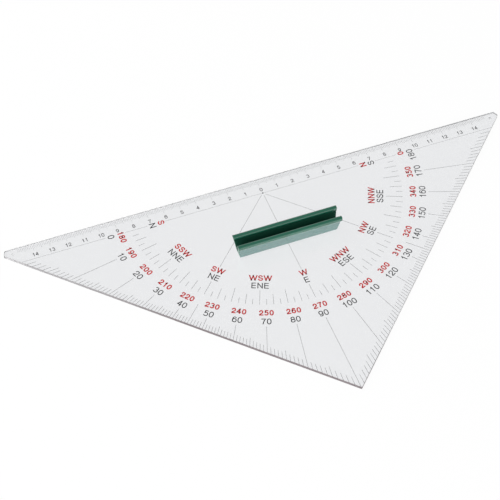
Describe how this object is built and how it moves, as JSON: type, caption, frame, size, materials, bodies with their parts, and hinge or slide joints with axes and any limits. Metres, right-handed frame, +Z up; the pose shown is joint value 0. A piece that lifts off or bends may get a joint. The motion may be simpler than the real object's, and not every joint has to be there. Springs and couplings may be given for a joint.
{
  "type": "nautical protractor",
  "caption": "Clear right-angled triangular plate with degree, compass and centimetre scales on its underside and a removable V-shaped carrying handle.",
  "frame": {"origin": "centre of the degree scale, on the underside of the plate", "axes": "+X along the long straight edge towards the black 180 mark, +Y from the right-angled corner towards the long straight edge, +Z up from the underside to the handle"},
  "size_m": [0.315, 0.1607, 0.014],
  "materials": {
    "clear_plate": "clear polished acrylic",
    "green_plastic": "gloss injection-moulded",
    "black_ink": "dull ink in fine grooves"
  },
  "bodies": {
    "plate": {"plate": "clear_plate", "degree_marks": "black_ink", "compass_marks": "black_ink", "millimetre_marks": "black_ink", "guide_lines": "black_ink"},
    "handle": {"handle": "green_plastic"}
  },
  "joints": [
    {"name": "handle_lift", "type": "slide", "parent": "plate", "child": "handle", "axis": [0, 0, 1], "range_m": [0, 0.02]}
  ]
}
